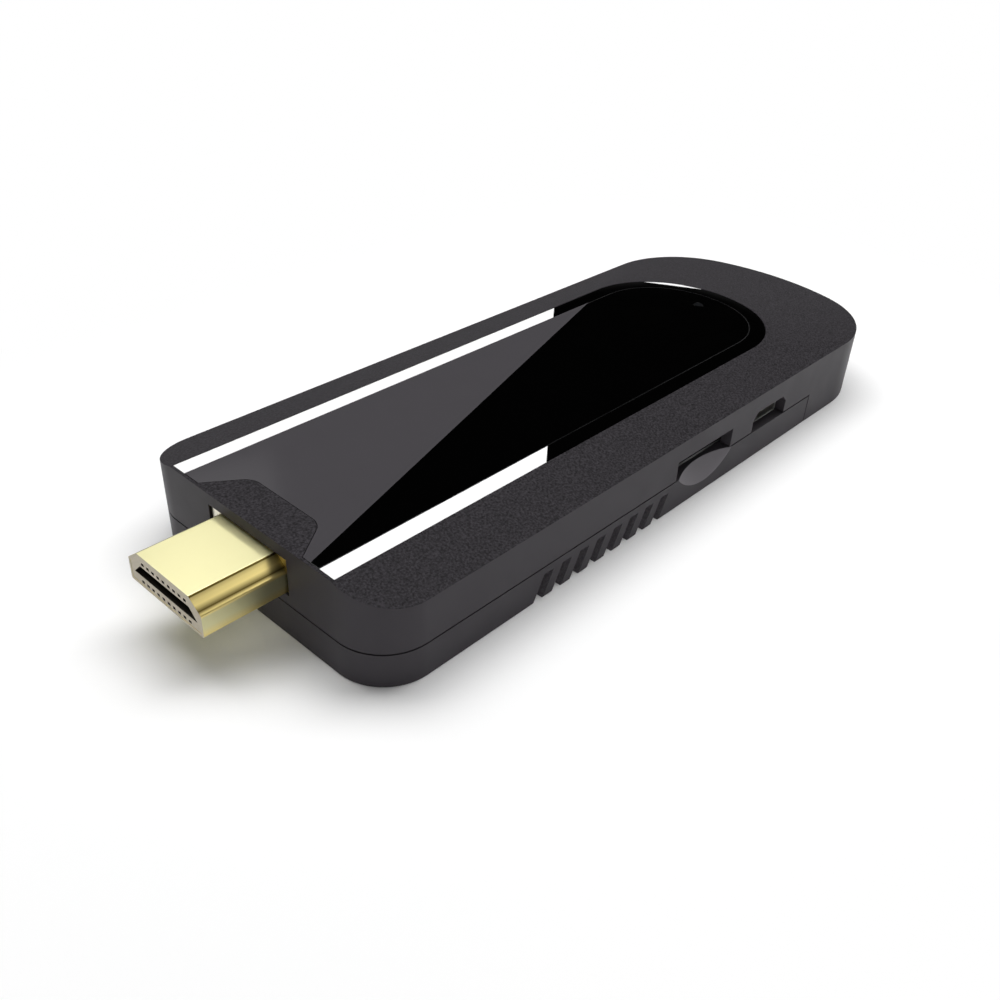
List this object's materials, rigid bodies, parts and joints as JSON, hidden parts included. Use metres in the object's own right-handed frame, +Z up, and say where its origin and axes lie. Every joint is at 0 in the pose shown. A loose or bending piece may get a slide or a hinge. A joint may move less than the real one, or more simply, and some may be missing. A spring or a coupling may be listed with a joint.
{
  "type": "streaming stick",
  "caption": "Flat stick that plugs into a television, with a fixed gold plug, gloss top panel, card slot, power and host sockets and vents.",
  "frame": {"origin": "under the middle of the whole stick, plug included, on the surface that it rests on", "axes": "+X from the plug to the rounded nose, +Y towards the side with the host socket, +Z up"},
  "size_m": [0.124, 0.044, 0.0126],
  "materials": {
    "housing_plastic": "finely textured dark grey",
    "gloss_black": "gloss black",
    "clear_plastic": "clear, smoked",
    "board_laminate": "green solder mask",
    "gold_plated_steel": "gold flash, satin",
    "beige_plastic": "plain moulded",
    "gold_contacts": "gold plated",
    "chip_epoxy": "matt black",
    "thermal_rubber": "soft, matt",
    "sink_aluminium": "plain extruded",
    "tinned_steel": "tin plated",
    "ferrite": "matt grey",
    "ceramic_tan": "fired ceramic",
    "lamp_plastic": "moulded",
    "black_plastic": "plain moulded",
    "white_plastic": "plain moulded",
    "spring_steel": "bright wire",
    "screw_steel": "zinc plated"
  },
  "bodies": {
    "stick": {"antenna": "tinned_steel", "board_screw_front_far": "screw_steel", "board_screw_front_near": "screw_steel", "board_screw_rear_far": "screw_steel", "board_screw_rear_near": "screw_steel", "capacitors": "ceramic_tan", "card_base": "black_plastic", "card_contacts": "gold_contacts", "card_cover": "tinned_steel", "card_spring": "spring_steel", "crystal": "tinned_steel", "flash_chip": "chip_epoxy", "heat_sink": "sink_aluminium", "inductor_1": "ferrite", "inductor_2": "ferrite", "inductor_3": "ferrite", "light_pipe": "clear_plastic", "lower_cover": "housing_plastic", "main_board": "board_laminate", "memory_chip_1": "chip_epoxy", "memory_chip_2": "chip_epoxy", "micro_usb_contacts": "gold_contacts", "micro_usb_shell": "tinned_steel", "micro_usb_tongue": "black_plastic", "plug_bracket": "gold_plated_steel", "plug_contacts": "gold_contacts", "plug_insulator": "beige_plastic", "plug_shell": "gold_plated_steel", "power_chip": "chip_epoxy", "processor": "chip_epoxy", "status_led": "lamp_plastic", "switch_body": "black_plastic", "switch_cover": "tinned_steel", "thermal_pad": "thermal_rubber", "top_panel": "gloss_black", "upper_housing": "housing_plastic", "usb_contacts": "gold_contacts", "usb_shell": "tinned_steel", "usb_tongue": "black_plastic", "wireless_board": "board_laminate", "wireless_shield": "tinned_steel"},
    "card_slide": {"card_slider": "white_plastic"},
    "reset_button": {"switch_plunger": "white_plastic"}
  },
  "joints": [
    {"name": "card_push", "type": "slide", "parent": "stick", "child": "card_slide", "axis": [0, 1, 0], "range_m": [0, 0.002], "stiffness_N_per_m": 800, "deforming": ["card_spring"]},
    {"name": "reset_press", "type": "slide", "parent": "stick", "child": "reset_button", "axis": [0, -1, 0], "range_m": [0, 0.00025], "stiffness_N_per_m": 6400}
  ]
}
